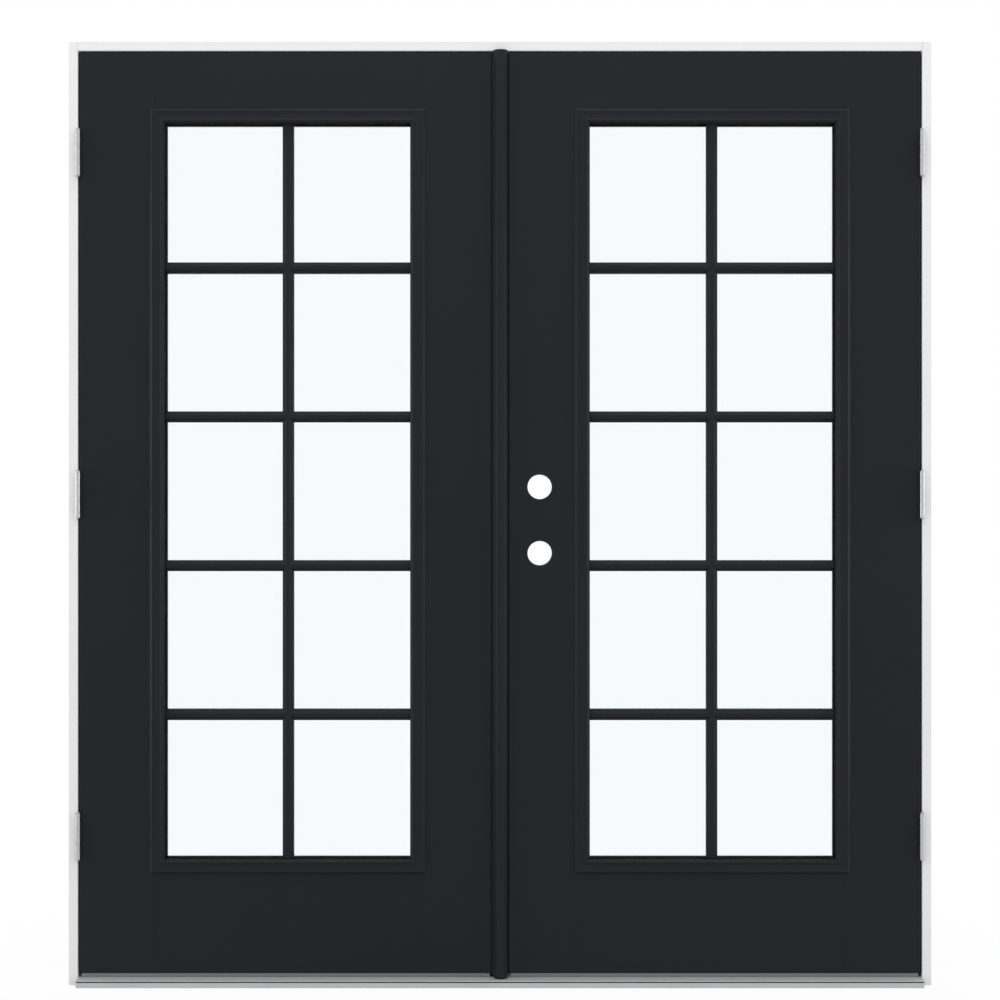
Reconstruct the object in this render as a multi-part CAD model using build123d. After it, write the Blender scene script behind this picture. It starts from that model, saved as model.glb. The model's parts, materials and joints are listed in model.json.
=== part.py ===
"""An outswing double door unit with its frame, in millimetres.

+X runs to the right and +Z up, as seen from outside. The exterior face of the frame lies in the plane y = 0,
and the rooms behind are towards +Y. The origin is on the underside of the sill, in the middle of the unit.
Each leaf is modelled on the right, and the left one is its mirror image.
"""

from build123d import *
import os
from math import radians, tan

os.makedirs("parts", exist_ok=True)

# The whole unit
unit_width = 1892.3
unit_height = 2070.1

# Frame members
frame_depth = 115.9
frame_thickness = 20.0
stop_thickness = 12.7
rabbet_depth = 47.6
eased_edge = 1.5

# Kerfs and the seals that sit in them
kerf_width = 3.0
kerf_depth = 9.0
kerf_inset = 5.6
stem_clearance = 0.2
seal_width = 10.4
seal_chamfer = 1.0
seal_clearance = 0.3

# Sill
sill_clearance = 0.5
nose_reach = 29.0
nose_height = 12.2
nose_wall = 4.4
drip_groove_height = 1.8
drip_groove_depth = 2.4
deck_front_height = 15.4
deck_back_height = 20.0
deck_wall = 2.2
riser_height = 38.0
riser_thickness = 10.0
riser_void_low = 22.2
riser_void_high = 28.6
riser_kerf_height = 32.6
inner_sill_height = 30.0

# Slabs
slab_thickness = 44.45
slab_bottom = 26.8
slab_edge_chamfer = 2.0
hinge_gap = 3.0
head_gap = 3.2
meeting_gap = 35.0
lock_edge_bevel = 3.0
skin_thickness = 1.6
hinge_stile_width = 32.0
lock_stile_width = 110.0
rail_height = 45.0
joint_line_offset = 290.0
joint_line_width = 1.0
joint_line_depth = 0.35

# Lock preparation of the active leaf
lock_backset = 69.85
lock_bore_radius = 27.0
lockset_height = 947.6
deadbolt_height = 1093.6
latch_bore_radius = 12.7

# Glazing
daylight_width = 539.3
daylight_top_margin = 155.9
daylight_bottom = 276.9
lite_offset = 4.3
glass_thickness = 3.1
glass_space = 7.8
glass_edge_cover = 9.75
cutout_clearance = 3.2
spacer_inset = 1.0
spacer_width = 7.5

# Moulded frame round the glass
lite_frame_width = 32.5
lite_frame_edge = 1.6
lite_frame_leg = 9.0
lite_bevel_width = 5.4
lite_bevel_height = 6.4
lite_cove_depth = 1.4
lite_bead_width = 6.4
lite_bead_height = 8.6
lite_lip_slope = 3.0
lite_lip_height = 3.2

# Bars that divide the glass
pane_columns = 2
pane_rows = 5
bar_width = 23.8
bar_flat = 7.2
bar_depth = 12.0
bar_side = 4.4
bar_end_clearance = 0.2

# Sweep under each slab
sweep_inset = 4.0
sweep_thickness = 2.5
sweep_fin_thickness = 1.4
sweep_fin_depths = (33.0, 39.0)
sweep_deck_clearance = 1.0

# Hinges
hinge_height = 101.6
hinge_lowest = 328.0
hinge_top_margin = 220.9
hinge_count = 3
pin_reach = 9.5
barrel_radius = 5.8
pin_radius = 3.15
pin_clearance = 0.05
pin_tip_height = 2.2
knuckle_count = 3
knuckle_gap = 0.3
knuckle_clearance = 0.5
leaf_plate_thickness = 2.3
leaf_plate_reach = 38.0
mortise_clearance = 0.3

# Astragal on the passive leaf
astragal_wall = 2.2
astragal_face_inset = 1.0
astragal_lap = 12.0
nose_half_width = 15.9
nose_offset = 1.3
nose_projection = 17.0
nose_flat_half = 7.5
nose_side = 7.0
nose_top_overlap = 2.6
nose_bottom_overlap = 3.9
nose_neck_half = 9.0
nose_face_gap = 0.6
edge_seal_width = 5.2
edge_seal_low = 2.4
edge_seal_high = 9.4
boot_half_width = 8.0
boot_front_inset = 2.0
boot_deck_clearance = 1.0

# Flush bolts in the astragal
bolt_radius = 6.0
bolt_clearance = 0.08
bolt_length = 205.0
bolt_travel = 16.0
bolt_end_inset = 1.0
bolt_hole_side = 14.0
bolt_hole_depth = 14.0
bolt_hole_floor = 4.0
guide_height = 60.0
guide_inset = 2.0
guide_clearance = 0.1
tab_height = 12.0
tab_width = 10.0
tab_proud = 0.6
tab_clearance = 0.5
tab_depth_below_end = 90.0
strike_length = 60.0
strike_width = 22.0
strike_thickness = 1.6

# Places worked out from the sizes above
unit_half = unit_width / 2
opening_half = unit_half - frame_thickness
stop_half = opening_half - stop_thickness
head_underside = unit_height - frame_thickness
slab_top = head_underside - head_gap
slab_hinge_edge = opening_half - hinge_gap
slab_meeting_edge = meeting_gap / 2
slab_width = slab_hinge_edge - slab_meeting_edge
core_low = skin_thickness
core_high = slab_thickness - skin_thickness
seal_thickness = rabbet_depth - slab_thickness - seal_clearance
pin_x = (opening_half + slab_hinge_edge) / 2
pin_y = -pin_reach
hinge_pitch = (slab_top - hinge_top_margin - hinge_lowest) / (hinge_count - 1)
hinge_heights = [hinge_lowest + i * hinge_pitch for i in range(hinge_count)]
daylight_height = slab_top - daylight_top_margin - daylight_bottom
lite_x = slab_meeting_edge + slab_width / 2 - lite_offset
lite_z = daylight_bottom + daylight_height / 2
glass_unit_thickness = 2 * glass_thickness + glass_space
glass_front = (slab_thickness - glass_unit_thickness) / 2
cutout_margin = glass_edge_cover + cutout_clearance
lock_x = slab_meeting_edge + lock_backset
astragal_bottom = slab_bottom - nose_bottom_overlap
bolt_x = (astragal_lap - slab_meeting_edge) / 2
bolt_y = slab_thickness / 2


def block(low, high):
    """A box between two opposite corners."""
    size = [b - a for a, b in zip(low, high)]
    centre = [(a + b) / 2 for a, b in zip(low, high)]
    return Pos(*centre) * Box(*size)


def upright(points, low, high):
    """A prism along Z over an outline of (x, y) points."""
    return extrude(Pos(0, 0, low) * make_face(Polyline(*points, close=True)), amount=high - low)


def lengthwise(face, low, high):
    """A prism along X of a face drawn with depth y across and height z up."""
    return extrude(Plane.YZ.offset(low) * face, amount=high - low)


def rod_z(x, y, radius, low, high):
    """A round rod along Z."""
    return Pos(x, y, (low + high) / 2) * Cylinder(radius, high - low)


def rod_y(x, z, radius, low, high):
    """A round rod along Y."""
    return Pos(x, (low + high) / 2, z) * Rot(90, 0, 0) * Cylinder(radius, high - low)


def rod_x(y, z, radius, low, high):
    """A round rod along X."""
    return Pos((low + high) / 2, y, z) * Rot(0, 90, 0) * Cylinder(radius, high - low)


def corners_at(face, points):
    """The corners of a face that lie nearest to these points."""
    corners = []
    for x, y in points:
        corners.append(min(face.vertices(), key=lambda v: (v.X - x) ** 2 + (v.Y - y) ** 2))
    return corners


def on_left(shape):
    """The mirror image of a piece of the right side."""
    return mirror(shape, about=Plane.YZ)


def save(shape, name):
    """Writes one named piece."""
    export_step(shape, os.path.join("parts", name + ".step"))


def deck_height(y):
    """The height of the sloping deck of the sill at depth y."""
    run = rabbet_depth + nose_reach - drip_groove_depth
    slope = (deck_back_height - deck_front_height) / run
    return deck_front_height + slope * (y + nose_reach - drip_groove_depth)


def hinge_plate_outline(margin):
    """The outline of a hinge plate, in depth and height about the hinge's middle, grown by a margin."""
    front = pin_y + barrel_radius + knuckle_clearance
    back = leaf_plate_reach + margin
    half = hinge_height / 2 + margin
    return make_face(Polyline((front, -half), (back, -half), (back, half), (front, half), close=True))


def hinge_mortises(low, high):
    """The three recesses that take hinge plates, between two planes of x."""
    outline = hinge_plate_outline(mortise_clearance)
    return [Pos(0, 0, z) * lengthwise(outline, low, high) for z in hinge_heights]


def hinge_leaf(low, high, knuckles, z):
    """One half of a butt hinge: a plate between two planes of x, and its own knuckles round the pin."""
    pitch = hinge_height / knuckle_count
    leaf = Pos(0, 0, z) * lengthwise(hinge_plate_outline(0), low, high)
    for k in knuckles:
        bottom = z - hinge_height / 2 + k * pitch + knuckle_gap / 2
        top = bottom + pitch - knuckle_gap
        leaf += block((low, pin_y, bottom), (high, pin_y + barrel_radius + knuckle_clearance, top))
        leaf += rod_z(pin_x, pin_y, barrel_radius, bottom, top)
        leaf -= rod_z(pin_x, pin_y, pin_radius + pin_clearance, bottom, top)
    return leaf


def hinge_pin(z):
    """A hinge pin, which stands a little out of the barrel at both ends."""
    half = hinge_height / 2 + pin_tip_height
    return rod_z(pin_x, pin_y, pin_radius, z - half, z + half)


def make_jamb_leg():
    """The right leg of the frame: board, raised stop, seal kerf and hinge mortises."""
    outline = [
        (opening_half, 0),
        (unit_half, 0),
        (unit_half, frame_depth),
        (stop_half, frame_depth),
        (stop_half, rabbet_depth),
        (opening_half, rabbet_depth),
    ]
    eased = [outline[0], outline[3], outline[4]]
    face = make_face(Polyline(*outline, close=True))
    leg = extrude(chamfer(corners_at(face, eased), eased_edge), amount=unit_height)
    kerf_low = opening_half - kerf_inset - kerf_width / 2
    kerf = block(
        (kerf_low, rabbet_depth, 0),
        (kerf_low + kerf_width, rabbet_depth + kerf_depth, unit_height),
    )
    leg -= kerf
    for mortise in hinge_mortises(opening_half, opening_half + leaf_plate_thickness):
        leg -= mortise
    return leg


def make_head():
    """The head between the legs, notched at its ends where the legs' stops run through."""
    stop_underside = head_underside - stop_thickness
    outline = [
        (0, head_underside),
        (rabbet_depth, head_underside),
        (rabbet_depth, stop_underside),
        (frame_depth, stop_underside),
        (frame_depth, unit_height),
        (0, unit_height),
    ]
    eased = [outline[0], outline[2], outline[3]]
    face = make_face(Polyline(*outline, close=True))
    head = lengthwise(chamfer(corners_at(face, eased), eased_edge), -opening_half, opening_half)
    for side in (-1, 1):
        low = min(side * stop_half, side * opening_half)
        high = max(side * stop_half, side * opening_half)
        head -= block((low, rabbet_depth, stop_underside), (high, frame_depth, unit_height))
    kerf_low = head_underside - kerf_inset - kerf_width / 2
    head -= block(
        (-stop_half, rabbet_depth, kerf_low),
        (stop_half, rabbet_depth + kerf_depth, kerf_low + kerf_width),
    )
    head -= strike_plate_blank()
    return head - bolt_hole(head_underside, head_underside + bolt_hole_depth)


def bolt_hole(low, high):
    """The square hole that a flush bolt enters, between two heights."""
    half = bolt_hole_side / 2
    return block((bolt_x - half, bolt_y - half, low), (bolt_x + half, bolt_y + half, high))


def strike_plate_blank():
    """The flat plate let into the head for the top bolt, before its hole."""
    half = strike_length / 2
    return block(
        (bolt_x - half, bolt_y - strike_width / 2, head_underside),
        (bolt_x + half, bolt_y + strike_width / 2, head_underside + strike_thickness),
    )


def make_head_strike():
    """The strike plate with the hole that the top bolt enters."""
    return strike_plate_blank() - bolt_hole(head_underside, head_underside + strike_thickness)


def seal_section():
    """A seal in section: a soft pad that stands off its stop, and a stem for the kerf.

    The pad runs from the stop, at 0, towards the slab, and the stem goes the other way.
    """
    half = seal_width / 2
    pad = make_face(
        Polyline((-half, -seal_thickness), (half, -seal_thickness), (half, 0), (-half, 0), close=True)
    )
    pad = chamfer(corners_at(pad, [(-half, -seal_thickness), (half, -seal_thickness)]), seal_chamfer)
    stem_half = kerf_width / 2 - stem_clearance
    stem_end = kerf_depth - stem_clearance
    stem = make_face(
        Polyline((-stem_half, 0), (stem_half, 0), (stem_half, stem_end), (-stem_half, stem_end), close=True)
    )
    return pad + stem


def make_jamb_seal():
    """The weather seal in the right leg, from the sill's riser to the head."""
    low = riser_height + sill_clearance
    high = head_underside - sill_clearance
    x = opening_half - kerf_inset
    return extrude(Pos(x, rabbet_depth, low) * seal_section(), amount=high - low)


def make_head_seal():
    """The weather seal in the head, which runs from stop to stop."""
    half = stop_half - stem_clearance
    place = Plane(origin=(-half, rabbet_depth, head_underside - kerf_inset), x_dir=(0, 0, -1), z_dir=(1, 0, 0))
    return extrude(place * seal_section(), amount=2 * half)


def make_sill_bumper():
    """The seal in the sill's riser, which the foot of each slab closes against."""
    half = stop_half - 2 * sill_clearance
    place = Plane(origin=(-half, rabbet_depth, riser_kerf_height), x_dir=(0, 0, -1), z_dir=(1, 0, 0))
    return extrude(place * seal_section(), amount=2 * half)


def fit_between_legs(shape):
    """Cuts the ends of a sill piece round the legs and their stops, with the sill's clearance."""
    wide = opening_half - sill_clearance
    narrow = stop_half - sill_clearance
    front = block((-wide, -nose_reach, 0), (wide, rabbet_depth, riser_height))
    back = block((-narrow, rabbet_depth, 0), (narrow, frame_depth, riser_height))
    return shape & (front + back)


def make_sill_deck():
    """The extruded metal deck of the sill, with its nose and drip groove."""
    groove_y = -nose_reach + drip_groove_depth
    inner_front = -nose_reach + nose_wall
    outline = [
        (-nose_reach, 0),
        (-nose_reach, nose_height),
        (groove_y, nose_height),
        (groove_y, nose_height + drip_groove_height),
        (groove_y - drip_groove_depth / 2, nose_height + drip_groove_height),
        (groove_y, deck_front_height),
        (rabbet_depth, deck_back_height),
        (rabbet_depth, deck_back_height - deck_wall),
        (inner_front, deck_height(inner_front) - deck_wall),
        (inner_front, 0),
    ]
    face = make_face(Polyline(*outline, close=True))
    deck = lengthwise(face, -opening_half, opening_half)
    return fit_between_legs(deck - bolt_hole(0, riser_height))


def make_sill_riser():
    """The upright extrusion behind the deck, with the kerf of the bumper seal over its hollow."""
    riser_back = rabbet_depth + riser_thickness
    foot = deck_back_height - deck_wall
    outline = [
        (rabbet_depth, foot),
        (rabbet_depth, riser_height),
        (riser_back, riser_height),
        (riser_back, foot),
    ]
    face = make_face(Polyline(*outline, close=True))
    void = Pos(rabbet_depth + riser_thickness / 2, (riser_void_low + riser_void_high) / 2) * Rectangle(
        riser_thickness - 2 * deck_wall, riser_void_high - riser_void_low
    )
    kerf = Pos(rabbet_depth + kerf_depth / 2, riser_kerf_height) * Rectangle(kerf_depth, kerf_width)
    riser = lengthwise(face - void - kerf, -opening_half, opening_half)
    return fit_between_legs(riser)


def make_sill_substrate():
    """The solid bed under the deck, which also forms the inner part of the sill."""
    riser_back = rabbet_depth + riser_thickness
    riser_foot = deck_back_height - deck_wall
    inner_front = -nose_reach + nose_wall
    outline = [
        (inner_front, 0),
        (inner_front, deck_height(inner_front) - deck_wall),
        (rabbet_depth, riser_foot),
        (riser_back, riser_foot),
        (riser_back, inner_sill_height),
        (frame_depth, inner_sill_height),
        (frame_depth, 0),
    ]
    face = make_face(Polyline(*outline, close=True))
    face = chamfer(corners_at(face, [(frame_depth, inner_sill_height)]), eased_edge)
    bed = lengthwise(face, -opening_half, opening_half)
    return fit_between_legs(bed - bolt_hole(bolt_hole_floor, riser_height))


def slab_envelope(bevelled):
    """The outer form of a slab, with eased edges and the hinge mortises. An active slab has a bevelled edge."""
    shift = slab_thickness * tan(radians(lock_edge_bevel)) if bevelled else 0
    outline = [
        (slab_meeting_edge, 0),
        (slab_hinge_edge, 0),
        (slab_hinge_edge, slab_thickness),
        (slab_meeting_edge + shift, slab_thickness),
    ]
    slab = upright(outline, slab_bottom, slab_top)
    faces = slab.faces().sort_by(Axis.Y)
    slab = chamfer(faces[0].edges() + faces[-1].edges(), slab_edge_chamfer)
    for mortise in hinge_mortises(slab_hinge_edge - leaf_plate_thickness, slab_hinge_edge):
        slab -= mortise
    return slab


def glazing_cutout():
    """The hole through the slab for the glass."""
    half_width = daylight_width / 2 + cutout_margin
    half_height = daylight_height / 2 + cutout_margin
    return block(
        (lite_x - half_width, 0, lite_z - half_height),
        (lite_x + half_width, slab_thickness, lite_z + half_height),
    )


def lock_bores():
    """The two cross bores for lockset and deadbolt, and the bores for their latches from the edge."""
    bores = []
    for height in (lockset_height, deadbolt_height):
        bores.append(rod_y(lock_x, height, lock_bore_radius, 0, slab_thickness))
        bores.append(rod_x(slab_thickness / 2, height, latch_bore_radius, slab_meeting_edge, lock_x))
    return bores


def make_slab_parts(bevelled):
    """The skins, stiles, rails and core that one slab is glued up from."""
    slab = slab_envelope(bevelled) - glazing_cutout()
    if bevelled:
        for bore in lock_bores():
            slab -= bore
    stile_in = slab_meeting_edge + lock_stile_width
    stile_out = slab_hinge_edge - hinge_stile_width
    rail_low = slab_bottom + rail_height
    rail_high = slab_top - rail_height
    regions = {
        "outer_skin": ((slab_meeting_edge, 0, slab_bottom), (slab_hinge_edge, core_low, slab_top)),
        "inner_skin": ((slab_meeting_edge, core_high, slab_bottom), (slab_hinge_edge, slab_thickness, slab_top)),
        "lock_stile": ((slab_meeting_edge, core_low, slab_bottom), (stile_in, core_high, slab_top)),
        "hinge_stile": ((stile_out, core_low, slab_bottom), (slab_hinge_edge, core_high, slab_top)),
        "bottom_rail": ((stile_in, core_low, slab_bottom), (stile_out, core_high, rail_low)),
        "top_rail": ((stile_in, core_low, rail_high), (stile_out, core_high, slab_top)),
        "foam_core": ((stile_in, core_low, rail_low), (stile_out, core_high, rail_high)),
    }
    parts = {name: slab & block(*corners) for name, corners in regions.items()}
    for line in joint_lines(0, joint_line_depth):
        parts["outer_skin"] -= line
    for line in joint_lines(slab_thickness - joint_line_depth, slab_thickness):
        parts["inner_skin"] -= line
    return parts


def joint_lines(low, high):
    """The fine upright joint lines pressed in a skin beside the glazing, between two planes of y."""
    lines = []
    for side in (-1, 1):
        x = lite_x + side * joint_line_offset
        corner_low = (x - joint_line_width / 2, low, slab_bottom)
        lines.append(block(corner_low, (x + joint_line_width / 2, high, slab_top)))
    return lines


def lite_frame_section():
    """The moulded section round the glass, drawn with distance from the daylight edge across.

    Heights above the skin are negative y, and the leg reaches back to the glass. From the outer edge
    inwards it has a short edge, a bevel, a shallow cove, a step up to a round bead, and the lip.
    """
    bevel_start = lite_frame_width - lite_bevel_width
    bead_start = lite_lip_slope + lite_bead_width
    shoulder = (lite_bead_height + lite_lip_height) / 2
    step_height = lite_bevel_height - lite_cove_depth / 2
    lip = (0, -lite_lip_height)
    bead_in = (lite_lip_slope, -shoulder)
    bead_out = (bead_start, -shoulder - 1)
    cove_in = (bead_start, -step_height)
    cove_out = (bevel_start, -lite_bevel_height)
    cove_mid = ((bead_start + bevel_start) / 2, -lite_bevel_height + lite_cove_depth)
    edge_top = (lite_frame_width, -lite_frame_edge)
    lines = [
        Line((0, glass_front), lip),
        Line(lip, bead_in),
        ThreePointArc(bead_in, ((bead_in[0] + bead_start) / 2, -lite_bead_height), bead_out),
        Line(bead_out, cove_in),
        ThreePointArc(cove_in, cove_mid, cove_out),
        Line(cove_out, edge_top),
        Line(edge_top, (lite_frame_width, 0)),
        Line((lite_frame_width, 0), (lite_frame_leg, 0)),
        Line((lite_frame_leg, 0), (lite_frame_leg, glass_front)),
        Line((lite_frame_leg, glass_front), (0, glass_front)),
    ]
    return make_face(Curve() + lines)


def make_lite_frame():
    """The outer moulded frame: its section led round the daylight opening with mitred corners."""
    left = lite_x - daylight_width / 2
    right = lite_x + daylight_width / 2
    low = daylight_bottom
    high = daylight_bottom + daylight_height
    path = Polyline(
        (lite_x, 0, low), (right, 0, low), (right, 0, high), (left, 0, high), (left, 0, low), (lite_x, 0, low)
    )
    place = Plane(origin=(lite_x, 0, low), x_dir=(0, 0, -1), z_dir=(1, 0, 0))
    return sweep(place * lite_frame_section(), path=path, transition=Transition.RIGHT)


def bar_section():
    """A dividing bar in section, its back on the glass at 0 and its flat front towards negative y."""
    half = bar_width / 2
    return make_face(
        Polyline(
            (-half, 0),
            (half, 0),
            (half, -bar_side),
            (bar_flat / 2, -bar_depth),
            (-bar_flat / 2, -bar_depth),
            (-half, -bar_side),
            close=True,
        )
    )


def make_bars():
    """The outer bars: upright ones in one length, and level ones cut to fit between them."""
    low = daylight_bottom + bar_end_clearance
    high = daylight_bottom + daylight_height - bar_end_clearance
    left = lite_x - daylight_width / 2 + bar_end_clearance
    right = lite_x + daylight_width / 2 - bar_end_clearance
    column_pitch = (daylight_width + bar_width) / pane_columns
    row_pitch = (daylight_height + bar_width) / pane_rows
    uprights = []
    for i in range(1, pane_columns):
        x = lite_x - (daylight_width + bar_width) / 2 + i * column_pitch
        uprights.append(extrude(Pos(x, glass_front, low) * bar_section(), amount=high - low))
    levels = []
    for i in range(1, pane_rows):
        z = daylight_bottom - bar_width / 2 + i * row_pitch
        place = Plane(origin=(left, glass_front, z), x_dir=(0, 0, -1), z_dir=(1, 0, 0))
        bar = extrude(place * bar_section(), amount=right - left)
        for piece in uprights:
            bar -= piece
        levels += bar.solids()
    return Compound(uprights + levels)


def to_inside(shape):
    """The same piece on the inner face of the slab."""
    return mirror(shape, about=Plane.XZ.offset(-slab_thickness / 2))


def make_glass():
    """The outer pane of the sealed glass unit."""
    half_width = daylight_width / 2 + glass_edge_cover
    half_height = daylight_height / 2 + glass_edge_cover
    return block(
        (lite_x - half_width, glass_front, lite_z - half_height),
        (lite_x + half_width, glass_front + glass_thickness, lite_z + half_height),
    )


def make_glass_spacer():
    """The ring that holds the two panes apart."""
    outer_width = daylight_width / 2 + glass_edge_cover - spacer_inset
    outer_height = daylight_height / 2 + glass_edge_cover - spacer_inset
    low = glass_front + glass_thickness
    high = low + glass_space
    ring = block(
        (lite_x - outer_width, low, lite_z - outer_height),
        (lite_x + outer_width, high, lite_z + outer_height),
    )
    inner_width = outer_width - spacer_width
    inner_height = outer_height - spacer_width
    ring -= block(
        (lite_x - inner_width, low, lite_z - inner_height),
        (lite_x + inner_width, high, lite_z + inner_height),
    )
    return ring


def make_sweep():
    """The sweep under a slab: a flat base with two soft fins that hang close over the deck."""
    left = slab_meeting_edge + sweep_inset
    right = slab_hinge_edge - sweep_inset
    base_bottom = slab_bottom - sweep_thickness
    strip = block(
        (left, sweep_inset, base_bottom),
        (right, slab_thickness - sweep_inset, slab_bottom),
    )
    for depth in sweep_fin_depths:
        back = depth + sweep_fin_thickness
        strip += block((left, depth, deck_height(back) + sweep_deck_clearance), (right, back, base_bottom))
    return strip


def make_astragal_body():
    """The hollow upright extrusion on the passive leaf's edge, with slots for the bolts' tabs."""
    low_y = astragal_face_inset
    high_y = slab_thickness - astragal_face_inset
    wall = astragal_wall
    outer = block((-slab_meeting_edge, low_y, astragal_bottom), (astragal_lap, high_y, slab_top))
    inner = block(
        (-slab_meeting_edge + wall, low_y + wall, astragal_bottom),
        (astragal_lap - wall, high_y - wall, slab_top),
    )
    body = outer - inner
    for low, high in tab_slots():
        body -= block(
            (astragal_lap - wall, bolt_y - tab_width / 2 - tab_clearance, low),
            (astragal_lap, bolt_y + tab_width / 2 + tab_clearance, high),
        )
    return body


def tab_slots():
    """Lowest and highest points of the slots for the bottom and top bolts' tabs."""
    top_tab = slab_top - bolt_end_inset - tab_depth_below_end
    bottom_tab = astragal_bottom + bolt_end_inset + tab_depth_below_end
    half = tab_height / 2 + tab_clearance
    return [(bottom_tab - half - bolt_travel, bottom_tab + half), (top_tab - half, top_tab + half + bolt_travel)]


def make_astragal_nose():
    """The hollow round-nosed bar in front of the meeting edges."""
    bottom = astragal_bottom
    top = slab_top + nose_top_overlap
    outline = [
        (-nose_half_width, -nose_face_gap),
        (-nose_half_width, -nose_side),
        (-nose_flat_half, -nose_projection),
        (nose_flat_half, -nose_projection),
        (nose_half_width, -nose_side),
        (nose_half_width, -nose_face_gap),
        (nose_neck_half, -nose_face_gap),
        (nose_neck_half, astragal_face_inset),
        (-nose_neck_half, astragal_face_inset),
        (-nose_neck_half, -nose_face_gap),
    ]
    face = make_face(Polyline(*outline, close=True))
    face = fillet(corners_at(face, outline[1:5]), nose_flat_half / 2)
    wall = astragal_wall
    inner = make_face(
        Polyline(
            (-nose_half_width + wall, -nose_face_gap - wall),
            (-nose_half_width + wall, -nose_side + wall / 4),
            (-nose_flat_half + wall / 2, -nose_projection + wall),
            (nose_flat_half - wall / 2, -nose_projection + wall),
            (nose_half_width - wall, -nose_side + wall / 4),
            (nose_half_width - wall, -nose_face_gap - wall),
            close=True,
        )
    )
    return extrude(Pos(nose_offset, 0, bottom) * (face - inner), amount=top - bottom)


def make_astragal_seal():
    """The soft strip on the astragal that faces the active leaf's edge."""
    outline = [
        (astragal_lap, edge_seal_low),
        (astragal_lap + edge_seal_width, edge_seal_low),
        (astragal_lap + edge_seal_width, edge_seal_high),
        (astragal_lap, edge_seal_high),
    ]
    face = make_face(Polyline(*outline, close=True))
    face = chamfer(corners_at(face, outline[1:3]), edge_seal_width / 3)
    return extrude(Pos(0, 0, astragal_bottom) * face, amount=slab_top - astragal_bottom)


def make_astragal_boot():
    """The soft block at the astragal's foot, its underside parallel to the sill's deck."""
    front = -nose_projection + boot_front_inset
    back = bolt_y - bolt_hole_side / 2
    outline = [
        (front, astragal_bottom),
        (back, astragal_bottom),
        (back, deck_height(back) + boot_deck_clearance),
        (front, deck_height(front) + boot_deck_clearance),
    ]
    face = make_face(Polyline(*outline, close=True))
    return lengthwise(face, nose_offset - boot_half_width, nose_offset + boot_half_width)


def make_bolt_guides():
    """The two blocks inside the astragal that the flush bolts run in."""
    low_x = -slab_meeting_edge + astragal_wall + guide_clearance
    high_x = astragal_lap - astragal_wall - guide_clearance
    low_y = astragal_face_inset + astragal_wall + guide_clearance
    high_y = slab_thickness - astragal_face_inset - astragal_wall - guide_clearance
    guides = []
    for low in (astragal_bottom + guide_inset, slab_top - guide_inset - guide_height):
        high = low + guide_height
        guide = block((low_x, low_y, low), (high_x, high_y, high))
        guides.append(guide - rod_z(bolt_x, bolt_y, bolt_radius + bolt_clearance, low, high))
    return Compound(guides)


def make_flush_bolt(end, direction):
    """A flush bolt, drawn back: its end, the way it shoots, and the tab that a finger moves."""
    far = end - direction * bolt_length
    tab_middle = end - direction * tab_depth_below_end
    bolt = rod_z(bolt_x, bolt_y, bolt_radius, min(end, far), max(end, far))
    bolt += block(
        (bolt_x, bolt_y - tab_width / 2, tab_middle - tab_height / 2),
        (astragal_lap + tab_proud, bolt_y + tab_width / 2, tab_middle + tab_height / 2),
    )
    return bolt


def save_frame():
    """Writes the pieces of the fixed frame."""
    leg = make_jamb_leg()
    save(leg, "jamb_right")
    save(on_left(leg), "jamb_left")
    save(make_head(), "head_jamb")
    save(make_head_strike(), "head_strike")
    seal = make_jamb_seal()
    save(Compound([seal, on_left(seal)]), "jamb_seals")
    save(make_head_seal(), "head_seal")
    save(make_sill_deck(), "sill_deck")
    save(make_sill_riser(), "sill_riser")
    save(make_sill_substrate(), "sill_substrate")
    save(make_sill_bumper(), "sill_bumper")


def save_hinges():
    """Writes the hinges of both leaves."""
    frame_knuckles = range(0, knuckle_count, 2)
    door_knuckles = range(1, knuckle_count, 2)
    frame_plane = opening_half
    door_plane = slab_hinge_edge
    pins = [hinge_pin(z) for z in hinge_heights]
    save(Compound(pins + [on_left(pin) for pin in pins]), "hinge_pins")
    for place, z in zip(("bottom", "middle", "top"), hinge_heights):
        frame_half = hinge_leaf(frame_plane, frame_plane + leaf_plate_thickness, frame_knuckles, z)
        door_half = hinge_leaf(door_plane - leaf_plate_thickness, door_plane, door_knuckles, z)
        save(frame_half, f"frame_hinge_{place}_right")
        save(on_left(frame_half), f"frame_hinge_{place}_left")
        save(door_half, f"active_hinge_{place}")
        save(on_left(door_half), f"passive_hinge_{place}")


def save_leaf(name, bevelled, place):
    """Writes the slab, glazing and sweep of one leaf, put in place by a function."""
    for part, shape in make_slab_parts(bevelled).items():
        save(place(shape), f"{name}_{part}")
    lite_frame = make_lite_frame()
    bars = make_bars()
    glass = make_glass()
    save(place(lite_frame), f"{name}_lite_frame_outer")
    save(place(to_inside(lite_frame)), f"{name}_lite_frame_inner")
    save(place(bars), f"{name}_bars_outer")
    save(place(to_inside(bars)), f"{name}_bars_inner")
    save(place(glass), f"{name}_glass_outer")
    save(place(to_inside(glass)), f"{name}_glass_inner")
    save(place(make_glass_spacer()), f"{name}_glass_spacer")
    save(place(make_sweep()), f"{name}_sweep")


def save_astragal():
    """Writes the astragal and the flush bolts, all carried by the passive leaf."""
    save(make_astragal_body(), "astragal_body")
    save(make_astragal_nose(), "astragal_nose")
    save(make_astragal_seal(), "astragal_seal")
    save(make_astragal_boot(), "astragal_boot")
    save(make_bolt_guides(), "bolt_guides")
    save(make_flush_bolt(slab_top - bolt_end_inset, 1), "top_flush_bolt")
    save(make_flush_bolt(astragal_bottom + bolt_end_inset, -1), "bottom_flush_bolt")


save_frame()
save_hinges()
save_leaf("active", True, lambda shape: shape)
save_leaf("passive", False, on_left)
save_astragal()
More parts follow.
